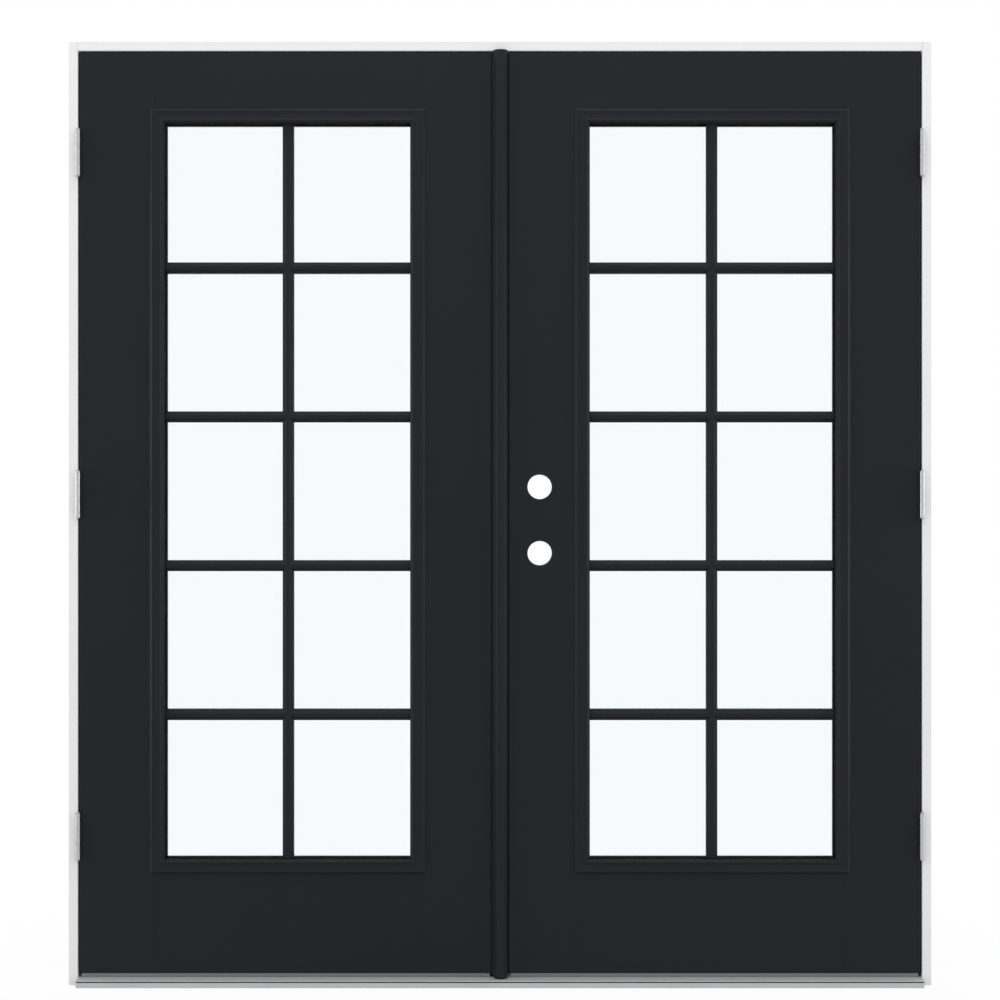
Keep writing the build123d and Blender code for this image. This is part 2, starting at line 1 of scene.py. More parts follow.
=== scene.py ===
# %% [markdown]
# # A pair of outswing doors in a white frame
# The CAD model already holds every solid of the unit at its real size. This lesson dresses it: it sets
# up a plain studio, mixes a finish for each material slot, and adds the small parts that are too fine
# for the solids, such as screws, pin tips, glazing seals, fins and end caps.

import json
from math import pi, radians

import bmesh
import bpy
from mathutils import Matrix, Vector


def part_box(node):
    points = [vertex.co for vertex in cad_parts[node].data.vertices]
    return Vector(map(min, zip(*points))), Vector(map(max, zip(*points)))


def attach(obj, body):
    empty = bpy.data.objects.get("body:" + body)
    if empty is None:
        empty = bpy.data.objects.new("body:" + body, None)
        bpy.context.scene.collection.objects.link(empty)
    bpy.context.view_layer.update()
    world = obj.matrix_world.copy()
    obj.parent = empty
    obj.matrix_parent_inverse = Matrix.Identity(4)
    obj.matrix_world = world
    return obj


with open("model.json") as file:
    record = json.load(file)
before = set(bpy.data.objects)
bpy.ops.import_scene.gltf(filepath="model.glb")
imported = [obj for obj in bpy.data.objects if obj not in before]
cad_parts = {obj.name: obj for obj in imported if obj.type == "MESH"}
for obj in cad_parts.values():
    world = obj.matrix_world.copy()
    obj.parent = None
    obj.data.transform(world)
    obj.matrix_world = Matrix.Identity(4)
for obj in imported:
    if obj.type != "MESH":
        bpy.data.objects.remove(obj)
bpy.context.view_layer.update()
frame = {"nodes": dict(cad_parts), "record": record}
nodes = frame["nodes"]
scene = bpy.context.scene

# %% [markdown]
# ## Camera
# The photograph is a straight front view. The unit's edges stay parallel in it, so the camera looks level
# along +Y. Its distance shows in how much smaller the rear parts look than the front ones. The lens then
# follows from the width that one picture has to cover at the front face of the frame.

# %% Camera
camera_distance = 4.8
camera_height = 1.0647
picture_width = 2.194
sensor_width = 36.0

camera_data = bpy.data.cameras.new("camera")
camera_data.sensor_width = sensor_width
camera_data.lens = sensor_width * camera_distance / picture_width
camera = bpy.data.objects.new("camera", camera_data)
scene.collection.objects.link(camera)
camera.location = (0, -camera_distance, camera_height)
camera.rotation_euler = (radians(90), 0, 0)
scene.camera = camera
print("lens:", round(camera_data.lens, 2), "mm")

# %% [markdown]
# ## Studio
# The background is white all round. Rays that show a background, seen directly, in a reflection or
# through glass, find a world that is exactly white. All other rays only fill the shadows, and the level
# that they bring has its own value, so the fill can change while the picture's background stays white.

# %% Node helpers


def maths(node_tree, operation, first, second):
    """The result of one operation on two linked values."""
    node = node_tree.nodes.new("ShaderNodeMath")
    node.operation = operation
    node_tree.links.new(first, node.inputs[0])
    node_tree.links.new(second, node.inputs[1])
    return node.outputs[0]


def seen_rays(node_tree):
    """A value that is 1 for rays that show a background: camera, glossy and transmission rays."""
    path = node_tree.nodes.new("ShaderNodeLightPath")
    seen = maths(node_tree, "MAXIMUM", path.outputs["Is Camera Ray"], path.outputs["Is Glossy Ray"])
    return maths(node_tree, "MAXIMUM", seen, path.outputs["Is Transmission Ray"])


def blend_to_output(node_tree, output_kind, share, first, second):
    """Sends two shaders to the output: the first where the share is 0, the second where it is 1."""
    blend = node_tree.nodes.new("ShaderNodeMixShader")
    output = node_tree.nodes.new(output_kind)
    node_tree.links.new(share, blend.inputs[0])
    node_tree.links.new(first.outputs[0], blend.inputs[1])
    node_tree.links.new(second.outputs[0], blend.inputs[2])
    node_tree.links.new(blend.outputs[0], output.inputs["Surface"])


print("node helpers ready")

# %% World
world_fill = 0.98
world_white = 1.0


def background(node_tree, strength):
    """A white background of a given strength."""
    shader = node_tree.nodes.new("ShaderNodeBackground")
    shader.inputs["Color"].default_value = (1, 1, 1, 1)
    shader.inputs["Strength"].default_value = strength
    return shader


world = bpy.data.worlds.new("studio")
scene.world = world
world.use_nodes = True
tree = world.node_tree
tree.nodes.clear()
blend_to_output(
    tree, "ShaderNodeOutputWorld", seen_rays(tree),
    background(tree, world_fill), background(tree, world_white),
)
scene.view_settings.view_transform = "Standard"
print("world fill:", world_fill)

# %% [markdown]
# ## Floor
# The floor glows as white as the world for the rays that show a background, and is plain matt paper for
# the others. Round the unit a small share of its real shading stays in the picture, so the unit stands on
# its shadow. The share fades out with the distance from the unit.

# %% Floor
floor_size = 14.0
floor_colour = (0.60, 0.60, 0.60, 1)
floor_glow = 1.0
floor_shadow = 0.045
shadow_core, shadow_reach = 0.8, 1.9

ground = bmesh.new()
bmesh.ops.create_grid(ground, x_segments=1, y_segments=1, size=floor_size / 2)
mesh = bpy.data.meshes.new("floor")
ground.to_mesh(mesh)
ground.free()
floor = bpy.data.objects.new("floor", mesh)
scene.collection.objects.link(floor)
print("floor:", floor_size, "m square")

# %% Paper of the floor
paper = bpy.data.materials.new("studio_floor")
paper.use_nodes = True
tree = paper.node_tree
tree.nodes.clear()
matt = tree.nodes.new("ShaderNodeBsdfDiffuse")
matt.inputs["Color"].default_value = floor_colour
glow = tree.nodes.new("ShaderNodeEmission")
glow.inputs["Strength"].default_value = floor_glow
place = tree.nodes.new("ShaderNodeTexCoord")
distance = tree.nodes.new("ShaderNodeVectorMath")
distance.operation = "LENGTH"
tree.links.new(place.outputs["Object"], distance.inputs[0])
fade = tree.nodes.new("ShaderNodeMapRange")
fade.interpolation_type = "SMOOTHSTEP"
fade.inputs["From Min"].default_value = shadow_core
fade.inputs["From Max"].default_value = shadow_reach
fade.inputs["To Min"].default_value = 1 - floor_shadow
fade.inputs["To Max"].default_value = 1.0
tree.links.new(distance.outputs["Value"], fade.inputs["Value"])
share = maths(tree, "MULTIPLY", seen_rays(tree), fade.outputs["Result"])
blend_to_output(tree, "ShaderNodeOutputMaterial", share, matt, glow)
floor.data.materials.append(paper)
print("shadow fades from", shadow_core, "to", shadow_reach, "m")

# %% [markdown]
# ## Lamps
# The white frame is a little lighter at the top than at the foot, so one lamp stands high in front. The
# slopes of the mouldings and of the astragal are lighter than the flats beside them. A slope of 45 degrees
# mirrors what is straight above or straight beside it, so a long lamp hangs almost over the doors and two
# more stand beside them, near the plane of the leaves. One lamp behind lights the inside. None stands
# straight in front, where the panes would mirror it.

# %% Lamps


def area_lamp(name, place, target, size, power):
    """A rectangular area lamp at one point, turned to face another, its power in watts."""
    data = bpy.data.lights.new(name, "AREA")
    data.shape = "RECTANGLE"
    data.size, data.size_y = size
    data.energy = power
    lamp = bpy.data.objects.new(name, data)
    scene.collection.objects.link(lamp)
    lamp.location = place
    direction = Vector(target) - Vector(place)
    lamp.rotation_euler = direction.to_track_quat("-Z", "Y").to_euler()
    return lamp


side_lamp = {"target": (0, 0, 1.05), "size": (1.2, 2.6), "power": 32}
lamps = [
    area_lamp("key", place=(-0.3, -3.8, 4.3), target=(0, 0, 1.0), size=(2.5, 2.5), power=15),
    area_lamp("top", place=(0, -0.7, 4.4), target=(0, 0, 1.4), size=(2.8, 0.9), power=21),
    area_lamp("left", place=(-3.8, -0.6, 1.1), **side_lamp),
    area_lamp("right", place=(3.8, -0.6, 1.1), **side_lamp),
    area_lamp("back", place=(0, 3.6, 4.2), target=(0, 0, 1.0), size=(3.0, 3.0), power=45),
]
print("lamps:", [lamp.name for lamp in lamps])

# %% [markdown]
# ## Effects shared by the finishes
# Three effects come back in many materials: the soft unevenness of sprayed paint, the long fine lines of
# drawn or brushed metal, and the small cells of foam, rubber and composite. Each is a node group, built
# once. It gives a colour, a roughness and a height, and each material feeds it its own values. A Mix node
# keeps a set of sockets for each kind of data under the same names, so they are told apart by number.

# %% Group builder
factor = 0
first_value, second_value, mixed_value = 2, 3, 0
first_colour, second_colour, mixed_colour = 6, 7, 2
group_inputs = [
    ("Position", "NodeSocketVector"),
    ("Scale", "NodeSocketFloat"),
    ("Color", "NodeSocketColor"),
    ("Second Color", "NodeSocketColor"),
    ("Roughness", "NodeSocketFloat"),
    ("Spread", "NodeSocketFloat"),
]
group_outputs = [
    ("Color", "NodeSocketColor"),
    ("Roughness", "NodeSocketFloat"),
    ("Height", "NodeSocketFloat"),
]


def effect_group(name, make_height, contrast):
    """A group that varies a colour and a roughness, and gives a height, with one pattern."""
    group = bpy.data.node_groups.new(name, "ShaderNodeTree")
    for direction, sockets in (("INPUT", group_inputs), ("OUTPUT", group_outputs)):
        for socket, kind in sockets:
            group.interface.new_socket(socket, in_out=direction, socket_type=kind)
    source = group.nodes.new("NodeGroupInput")
    result = group.nodes.new("NodeGroupOutput")
    height = make_height(group, source)
    ramp = group.nodes.new("ShaderNodeMapRange")
    ramp.inputs["From Min"].default_value = 0.5 - contrast
    ramp.inputs["From Max"].default_value = 0.5 + contrast
    group.links.new(height, ramp.inputs["Value"])
    mix = group.nodes.new("ShaderNodeMix")
    mix.data_type = "RGBA"
    group.links.new(ramp.outputs["Result"], mix.inputs[factor])
    group.links.new(source.outputs["Color"], mix.inputs[first_colour])
    group.links.new(source.outputs["Second Color"], mix.inputs[second_colour])
    rough = group.nodes.new("ShaderNodeMath")
    rough.operation = "MULTIPLY_ADD"
    group.links.new(ramp.outputs["Result"], rough.inputs[0])
    group.links.new(source.outputs["Spread"], rough.inputs[1])
    group.links.new(source.outputs["Roughness"], rough.inputs[2])
    group.links.new(mix.outputs[mixed_colour], result.inputs["Color"])
    group.links.new(rough.outputs[0], result.inputs["Roughness"])
    group.links.new(height, result.inputs["Height"])
    return group


print("each group gives:", [socket for socket, kind in group_outputs])

# %% Three patterns
cloud_scale = 3.0


def spray_height(group, source):
    """Fine orange peel on top of slow, cloudy unevenness."""
    fine = group.nodes.new("ShaderNodeTexNoise")
    fine.inputs["Detail"].default_value = 2
    slow = group.nodes.new("ShaderNodeTexNoise")
    slow.inputs["Detail"].default_value = 4
    slow.inputs["Scale"].default_value = cloud_scale
    group.links.new(source.outputs["Position"], fine.inputs["Vector"])
    group.links.new(source.outputs["Position"], slow.inputs["Vector"])
    group.links.new(source.outputs["Scale"], fine.inputs["Scale"])
    mix = group.nodes.new("ShaderNodeMix")
    mix.inputs[factor].default_value = 0.5
    group.links.new(fine.outputs["Fac"], mix.inputs[first_value])
    group.links.new(slow.outputs["Fac"], mix.inputs[second_value])
    return mix.outputs[mixed_value]


def line_height(group, source):
    """Long thin lines: the material stretches its Mapping node along them."""
    lines = group.nodes.new("ShaderNodeTexNoise")
    lines.inputs["Detail"].default_value = 5
    lines.inputs["Roughness"].default_value = 0.65
    group.links.new(source.outputs["Position"], lines.inputs["Vector"])
    group.links.new(source.outputs["Scale"], lines.inputs["Scale"])
    return lines.outputs["Fac"]


def cell_height(group, source):
    """Small rounded cells."""
    cells = group.nodes.new("ShaderNodeTexVoronoi")
    group.links.new(source.outputs["Position"], cells.inputs["Vector"])
    group.links.new(source.outputs["Scale"], cells.inputs["Scale"])
    return cells.outputs["Distance"]


sprayed = effect_group("sprayed_paint", spray_height, contrast=0.2)
drawn = effect_group("drawn_lines", line_height, contrast=0.3)
celled = effect_group("small_cells", cell_height, contrast=0.4)
print("groups:", [group.name for group in (sprayed, drawn, celled)])

# %% [markdown]
# ## Finishes
# A finish is a Principled shader with one of the effects in front of it. The effect moves the colour
# between two, and the roughness from its lowest value over a spread. Its relief has a strength and a
# height in metres. Values that are the same all over, such as how metallic it is, stay on the shader's
# own sockets. The stretch turns the pattern of a drawn or brushed metal into lines along one axis.

# %% Finish builder


def finish(name, effect, colours, roughness, spread, scale, relief, stretch=(1, 1, 1), **shader_values):
    """A material with one effect on its colour, roughness and normal."""
    material = bpy.data.materials.new(name)
    material.use_nodes = True
    tree = material.node_tree
    shader = tree.nodes["Principled BSDF"]
    place = tree.nodes.new("ShaderNodeTexCoord")
    mapping = tree.nodes.new("ShaderNodeMapping")
    mapping.inputs["Scale"].default_value = stretch
    group = tree.nodes.new("ShaderNodeGroup")
    group.node_tree = effect
    group.inputs["Scale"].default_value = scale
    group.inputs["Color"].default_value = (*colours[0], 1)
    group.inputs["Second Color"].default_value = (*colours[1], 1)
    group.inputs["Roughness"].default_value = roughness
    group.inputs["Spread"].default_value = spread
    bump = tree.nodes.new("ShaderNodeBump")
    bump.inputs["Strength"].default_value = relief[0]
    bump.inputs["Distance"].default_value = relief[1]
    tree.links.new(place.outputs["Object"], mapping.inputs["Vector"])
    tree.links.new(mapping.outputs[0], group.inputs["Position"])
    tree.links.new(group.outputs["Color"], shader.inputs["Base Color"])
    tree.links.new(group.outputs["Roughness"], shader.inputs["Roughness"])
    tree.links.new(group.outputs["Height"], bump.inputs["Height"])
    tree.links.new(bump.outputs["Normal"], shader.inputs["Normal"])
    for socket, value in shader_values.items():
        shader.inputs[socket.replace("_", " ")].default_value = value
    material.diffuse_color = (*colours[0], 1)
    return material


print("finish builder ready")

# %% [markdown]
# ## Paints
# The leaves have a smooth near-black paint that is satin, not glossy, with hardly any reflection when one
# looks straight at it. The mouldings and the astragal are a shade deeper and shine a little more, so their
# slopes catch the light of the lamps above and beside them. The bars are as flat as the leaves.

# %% Black paints
black = ((0.0115, 0.0122, 0.0137), (0.0140, 0.0148, 0.0165))
deep_black = ((0.0075, 0.0080, 0.0092), (0.0098, 0.0104, 0.0119))
satin = {"Specular_IOR_Level": 0.12}
half_gloss = {"Specular_IOR_Level": 0.18}

leaf_paint = finish(
    "leaf_paint", sprayed, black,
    roughness=0.42, spread=0.10, scale=900, relief=(0.12, 0.0004), **satin,
)
moulding_paint = finish(
    "moulding_paint", sprayed, deep_black,
    roughness=0.38, spread=0.10, scale=700, relief=(0.15, 0.0004), **half_gloss,
)
bar_paint = finish(
    "bar_paint", sprayed, black,
    roughness=0.40, spread=0.10, scale=800, relief=(0.12, 0.0004), **satin,
)
metal_paint = finish(
    "astragal_paint", sprayed, deep_black,
    roughness=0.30, spread=0.08, scale=1200, relief=(0.10, 0.0003), **half_gloss,
)
print("black paints:", leaf_paint.name, moulding_paint.name, bar_paint.name, metal_paint.name)

# %% [markdown]
# ## Primer of the frame
# The frame is primed white for painting on site, and the primer is flatter than a finish coat. Its faint
# lines run along each board, up the legs and along the head.

# %% White primer
primer = {
    "effect": drawn,
    "colours": ((0.805, 0.805, 0.808), (0.765, 0.765, 0.772)),
    "roughness": 0.55,
    "spread": 0.15,
    "scale": 220,
    "relief": (0.12, 0.0004),
}
leg_primer = finish("leg_primer", stretch=(1, 1, 0.03), **primer)
head_primer = finish("head_primer", stretch=(0.03, 1, 1), **primer)
print("primers:", leg_primer.name, head_primer.name)

# %% [markdown]
# ## Metals
# The hinges are satin nickel, brushed along their plates. The sill is anodised aluminium with the long die
# lines that every extrusion has. Its dull oxide layer scatters light, so the shader is only half metallic
# and the deck doesn't mirror the dark leaves above it. Strikes and bolts are zinc-plated steel, and the
# spacer between the panes is a strip of bright rolled metal.

# %% Metals
nickel = finish(
    "satin_nickel", drawn, ((0.52, 0.52, 0.52), (0.44, 0.44, 0.44)),
    roughness=0.24, spread=0.14, scale=380, relief=(0.10, 0.0003), stretch=(1, 1, 0.05), Metallic=1.0,
)
aluminium = finish(
    "anodised_aluminium", drawn, ((0.56, 0.565, 0.57), (0.46, 0.465, 0.47)),
    roughness=0.50, spread=0.18, scale=450, relief=(0.12, 0.0003), stretch=(0.02, 1, 1), Metallic=0.45,
)
zinc = finish(
    "zinc_plated_steel", drawn, ((0.52, 0.53, 0.55), (0.44, 0.45, 0.48)),
    roughness=0.28, spread=0.18, scale=500, relief=(0.08, 0.0003), stretch=(1, 1, 0.05), Metallic=1.0,
)
spacer_metal = finish(
    "spacer_metal", drawn, ((0.60, 0.61, 0.62), (0.52, 0.53, 0.54)),
    roughness=0.40, spread=0.15, scale=400, relief=(0.08, 0.0003), stretch=(1, 1, 0.2), Metallic=1.0,
)
print("metals:", nickel.name, aluminium.name, zinc.name, spacer_metal.name)

# %% [markdown]
# ## Soft materials
# The sweeps, the foot block and the astragal's seal are black rubber, which hardly shines. The fins that
# hang from the sweeps are grey vinyl, and the seals of the frame are dark foam. The guides of the flush
# bolts are pale nylon.

# %% Seals, fins and guides
rubber = finish(
    "black_rubber", celled, ((0.008, 0.008, 0.008), (0.014, 0.014, 0.014)),
    roughness=0.66, spread=0.18, scale=900, relief=(0.2, 0.0004), Specular_IOR_Level=0.03,
)
vinyl = finish(
    "grey_vinyl", sprayed, ((0.150, 0.150, 0.152), (0.185, 0.185, 0.188)),
    roughness=0.50, spread=0.12, scale=800, relief=(0.1, 0.0003),
)
seal_foam = finish(
    "seal_foam", celled, ((0.060, 0.060, 0.064), (0.085, 0.085, 0.090)),
    roughness=0.70, spread=0.15, scale=1400, relief=(0.3, 0.0004),
)
nylon = finish(
    "guide_nylon", sprayed, ((0.60, 0.60, 0.58), (0.66, 0.66, 0.64)),
    roughness=0.45, spread=0.10, scale=600, relief=(0.1, 0.0003),
)
print("soft materials:", rubber.name, vinyl.name, seal_foam.name, nylon.name)

# %% [markdown]
# ## Bed, edges and core
# The bed of the sill is a grey composite. The edges of the leaves are painted like their faces, over wood
# whose grain still shows a little. The foam core is closed in and never shows, but it has the cream
# colour of such foam, in case the part is cut open.

# %% Sill bed, edges and core
composite = finish(
    "sill_composite", celled, ((0.20, 0.19, 0.18), (0.26, 0.25, 0.24)),
    roughness=0.60, spread=0.15, scale=600, relief=(0.25, 0.0005),
)
painted_edge = finish(
    "painted_edge", drawn, black,
    roughness=0.45, spread=0.15, scale=160, relief=(0.25, 0.0006), stretch=(1, 1, 0.04), **satin,
)
core_foam = finish(
    "core_foam", celled, ((0.75, 0.68, 0.50), (0.68, 0.60, 0.42)),
    roughness=0.85, spread=0.10, scale=700, relief=(0.3, 0.0006),
)
print("bed, edges and core:", composite.name, painted_edge.name, core_foam.name)

# %% [markdown]
# ## Glass
# Clear float glass is nearly invisible from the front and shows a cool tint in its thickness. It lets the
# white background through, a little darkened by two panes. Faint wiping marks vary its roughness.

# %% Glass
glass = finish(
    "clear_glass", sprayed, ((0.964, 0.970, 0.984), (0.970, 0.976, 0.988)),
    roughness=0.0, spread=0.02, scale=12, relief=(0.02, 0.0001), Transmission_Weight=1.0, IOR=1.45,
)
print("glass:", glass.name)

# %% [markdown]
# ## Finishes on the solids
# Each solid keeps its mesh and gets the finish of its material slot. The frame's boards differ only in
# which way their lines run.

# %% Give every solid its finish
slot_finish = {
    "frame_primer": leg_primer,
    "weather_seal": seal_foam,
    "strike_steel": zinc,
    "sill_aluminium": aluminium,
    "sill_composite": composite,
    "stile_timber": painted_edge,
    "hinge_steel": nickel,
    "rail_composite": painted_edge,
    "foam": core_foam,
    "leaf_skin": leaf_paint,
    "lite_moulding": moulding_paint,
    "bar_moulding": bar_paint,
    "spacer": spacer_metal,
    "clear_glass": glass,
    "black_rubber": rubber,
    "astragal_finish": metal_paint,
    "guide_plastic": nylon,
    "bolt_steel": zinc,
}
slot_of = {part["node"]: part["material_slot"] for part in frame["record"]["subparts"]}
for name, solid in nodes.items():
    material = head_primer if name == "head_jamb" else slot_finish[slot_of[name]]
    for slot in solid.material_slots:
        slot.material = material
print("dressed solids:", len(nodes))

# %% [markdown]
# ## Small pieces
# One helper turns a finished bmesh into an object, gives it a finish and lets it ride on a body. All
# pieces keep their place in their mesh, as the solids do. Another repeats one shape at many places.

# %% Piece helpers
mm = 0.001


def new_piece(name, shape, body, material, smooth=False):
    """An object from a bmesh, with its finish, carried by a body."""
    bmesh.ops.recalc_face_normals(shape, faces=shape.faces)
    mesh = bpy.data.meshes.new(name)
    shape.to_mesh(mesh)
    shape.free()
    mesh.materials.append(material)
    for polygon in mesh.polygons:
        polygon.use_smooth = smooth
    piece = bpy.data.objects.new(name, mesh)
    scene.collection.objects.link(piece)
    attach(piece, body)
    return piece


def copies(shape, placements):
    """One bmesh with a copy of a shape at each placement matrix."""
    one = bpy.data.meshes.new("one")
    shape.to_mesh(one)
    shape.free()
    joined = bmesh.new()
    for place in placements:
        before = set(joined.verts)
        joined.from_mesh(one)
        fresh = [v for v in joined.verts if v not in before]
        bmesh.ops.transform(joined, matrix=place, verts=fresh)
    bpy.data.meshes.remove(one)
    return joined


print("piece helpers ready")

# %% [markdown]
# ## Shaping
# An operator hands back what it made as one mixed list, so two helpers pick the corners or the edges out
# of it. Strips and fins start as a box between two corners. What is rounded on a piece is nearly always
# the edges that lie in one plane, so those are found by their place and bevelled.

# %% Shaping helpers
edge_reach = 0.1 * mm
turn_left = Matrix.Rotation(-pi / 2, 4, "Y")
turn_right = Matrix.Rotation(pi / 2, 4, "Y")
turn_front = Matrix.Rotation(pi / 2, 4, "X")
turn_back = Matrix.Rotation(-pi / 2, 4, "X")
turn_over = Matrix.Rotation(pi, 4, "X")


def verts_of(made):
    """The corners in an operator's result."""
    return [item for item in made["geom"] if isinstance(item, bmesh.types.BMVert)]


def edges_of(made):
    """The edges in an operator's result."""
    return [item for item in made["geom"] if isinstance(item, bmesh.types.BMEdge)]


def box_shape(low, high):
    """A box between two corners."""
    shape = bmesh.new()
    bmesh.ops.create_cube(shape, size=1)
    bmesh.ops.scale(shape, verts=shape.verts, vec=high - low)
    bmesh.ops.translate(shape, verts=shape.verts, vec=(low + high) / 2)
    return shape


def round_edges(shape, axis, place, offset, segments, least_length=0):
    """Rounds the edges that lie at one place along an axis, apart from shorter ones."""
    edges = [
        edge for edge in shape.edges
        if all(abs(getattr(v.co, axis) - place) < edge_reach for v in edge.verts)
        and edge.calc_length() > least_length
    ]
    bmesh.ops.bevel(
        shape, geom=edges, offset=offset, segments=segments, profile=0.5, affect="EDGES", material=-1
    )


print("shaping helpers ready")

# %% [markdown]
# ## Hinge pins
# The tip of a hinge pin is a low button that stands on the end of the barrel. A short cylinder with a
# bevelled rim gives it; a full bevel on both rims would hide the flat that touches the knuckle.

# %% Pin tips
pin_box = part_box("hinge_pins")
pin_radius = 3.15 * mm
pin_x = pin_box[1][0] - pin_radius
pin_y = (pin_box[0][1] + pin_box[1][1]) / 2
tip_radius, tip_height, tip_rounding = 4.7 * mm, 2.6 * mm, 1.4 * mm
hinge_places = ("bottom", "middle", "top")

tip = bmesh.new()
bmesh.ops.create_cone(
    tip, cap_ends=True, segments=32, radius1=tip_radius, radius2=tip_radius, depth=tip_height,
    matrix=Matrix.Translation((0, 0, tip_height / 2)),
)
round_edges(tip, "z", tip_height, offset=tip_rounding, segments=4)
placements = []
for place in hinge_places:
    low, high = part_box(f"frame_hinge_{place}_right")
    for side in (-1, 1):
        placements.append(Matrix.Translation((side * pin_x, pin_y, high[2])))
        placements.append(Matrix.Translation((side * pin_x, pin_y, low[2])) @ turn_over)
new_piece("hinge_pin_tips", copies(tip, placements), "frame", nickel, smooth=True)
print("pin tips:", len(placements))

# %% [markdown]
# ## Screws
# A countersunk screw head is a disc with a cross-shaped recess. The disc's rim and the outline of the
# cross are two loops, and bridging them makes the ring between. The recess is the cross pushed in and
# drawn together. The sizes of the cross and of the flat top are shares of the head's radius.

# %% Screw head
flat_share = 0.88
arm_share, slim_share = 0.52, 0.14
recess_share, recess_taper = 0.9, 0.6


def screw_head(radius, proud, segments=24):
    """A screw head that looks along +Z, its back at z = 0."""
    head = bmesh.new()
    bmesh.ops.create_circle(
        head, cap_ends=False, segments=segments, radius=radius * flat_share,
        matrix=Matrix.Translation((0, 0, proud)),
    )
    outer = list(head.edges)
    arm, slim = radius * arm_share, radius * slim_share
    corners = [
        (arm, -slim), (arm, slim), (slim, slim), (slim, arm), (-slim, arm), (-slim, slim),
        (-arm, slim), (-arm, -slim), (-slim, -slim), (-slim, -arm), (slim, -arm), (slim, -slim),
    ]
    cross = [head.verts.new((x, y, proud)) for x, y in corners]
    inner = [head.edges.new((cross[i], cross[i - 1])) for i in range(len(cross))]
    bmesh.ops.bridge_loops(head, edges=outer + inner)
    recess = bmesh.ops.extrude_edge_only(head, edges=inner)
    bmesh.ops.translate(head, verts=verts_of(recess), vec=(0, 0, -proud * recess_share))
    bmesh.ops.scale(head, verts=verts_of(recess), vec=(recess_taper, recess_taper, 1))
    bmesh.ops.contextual_create(head, geom=edges_of(recess))
    skirt = bmesh.ops.extrude_edge_only(head, edges=outer)
    bmesh.ops.translate(head, verts=verts_of(skirt), vec=(0, 0, -proud))
    bmesh.ops.scale(head, verts=verts_of(skirt), vec=(1 / flat_share, 1 / flat_share, 1))
    return head


print("flat top:", flat_share, "of the radius")

# %% [markdown]
# ## Hinge screws
# Each hinge plate has four screws in a zigzag. Those of the frame's plates face the opening, and those of
# the leaf's plates face the jamb, so they show only when a leaf is open.

# %% Hinge screws
screw_radius, screw_proud = 4.4 * mm, 0.35 * mm
screw_places = [(28 * mm, 38 * mm), (15 * mm, 14 * mm), (15 * mm, -14 * mm), (28 * mm, -38 * mm)]
jamb_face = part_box("head_jamb")[1][0]
leaf_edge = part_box("active_hinge_stile")[1][0]

for body, node, plate_face, sides, faces_opening in (
    ("frame", "frame_hinge_{}_right", jamb_face, (-1, 1), True),
    ("active_leaf", "active_hinge_{}", leaf_edge, (1,), False),
    ("passive_leaf", "passive_hinge_{}", leaf_edge, (-1,), False),
):
    placements = []
    for place in hinge_places:
        low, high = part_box(node.format(place))
        middle = (low[2] + high[2]) / 2
        for side in sides:
            turn = turn_left if (side > 0) == faces_opening else turn_right
            for depth, rise in screw_places:
                placements.append(Matrix.Translation((side * plate_face, depth, middle + rise)) @ turn)
    name = "hinge_screws_" + body
    new_piece(name, copies(screw_head(screw_radius, screw_proud), placements), body, nickel)
    print(name, len(placements))

# %% [markdown]
# ## Glazing seals
# A black seal lines the inner edge of each moulded frame, from its lip down to the glass, and its foot
# rests on the pane. It is a section led round a rectangle. The first point of the section makes one
# rectangular loop. Each next point extrudes the loop, and scales and moves it to its own size and depth,
# until the last loop meets the first one. A circle of four points, turned by 45 degrees and made larger
# by the root of two, is a square whose sides lie one unit from its middle, and scales to any rectangle.

# %% Section of a glazing seal
square_up = Matrix.Rotation(pi / 4, 4, "Z") @ Matrix.Scale(2 ** 0.5, 4)
seal_cover = 0.35 * mm
lip_height = 3.2 * mm
foot_width, foot_height = 1.3 * mm, 1.2 * mm
weld_distance = 0.01 * mm


def glazing_seal(low, high, skin, glass_face, outward):
    """A seal round a daylight opening, from the moulding's lip to the glass, on one face of a leaf."""
    section = [
        (seal_cover, skin + outward * (lip_height + seal_cover)),
        (-seal_cover, skin + outward * (lip_height + seal_cover)),
        (-seal_cover, glass_face + outward * foot_height),
        (-foot_width, glass_face + outward * foot_height),
        (-foot_width, glass_face),
        (seal_cover, glass_face),
        (seal_cover, skin + outward * (lip_height - seal_cover)),
    ]
    middle = Vector(((low[0] + high[0]) / 2, 0, (low[2] + high[2]) / 2))
    half_width, half_height = (high[0] - low[0]) / 2, (high[2] - low[2]) / 2
    ring = bmesh.new()
    out, y = section[0]
    bmesh.ops.create_circle(ring, cap_ends=False, segments=4, radius=1, matrix=turn_front @ square_up)
    bmesh.ops.scale(ring, verts=ring.verts, vec=(half_width + out, 1, half_height + out))
    bmesh.ops.translate(ring, verts=ring.verts, vec=middle + Vector((0, y, 0)))
    loop = list(ring.edges)
    for next_out, next_y in section[1:] + section[:1]:
        grown = bmesh.ops.extrude_edge_only(ring, edges=loop)
        loop = edges_of(grown)
        fresh = verts_of(grown)
        wider = (half_width + next_out) / (half_width + out)
        taller = (half_height + next_out) / (half_height + out)
        bmesh.ops.scale(ring, verts=fresh, vec=(wider, 1, taller), space=Matrix.Translation(-middle))
        bmesh.ops.translate(ring, verts=fresh, vec=(0, next_y - y, 0))
        out, y = next_out, next_y
    bmesh.ops.remove_doubles(ring, verts=ring.verts, dist=weld_distance)
    return ring


print("seal foot:", round(foot_width / mm, 1), "mm wide")

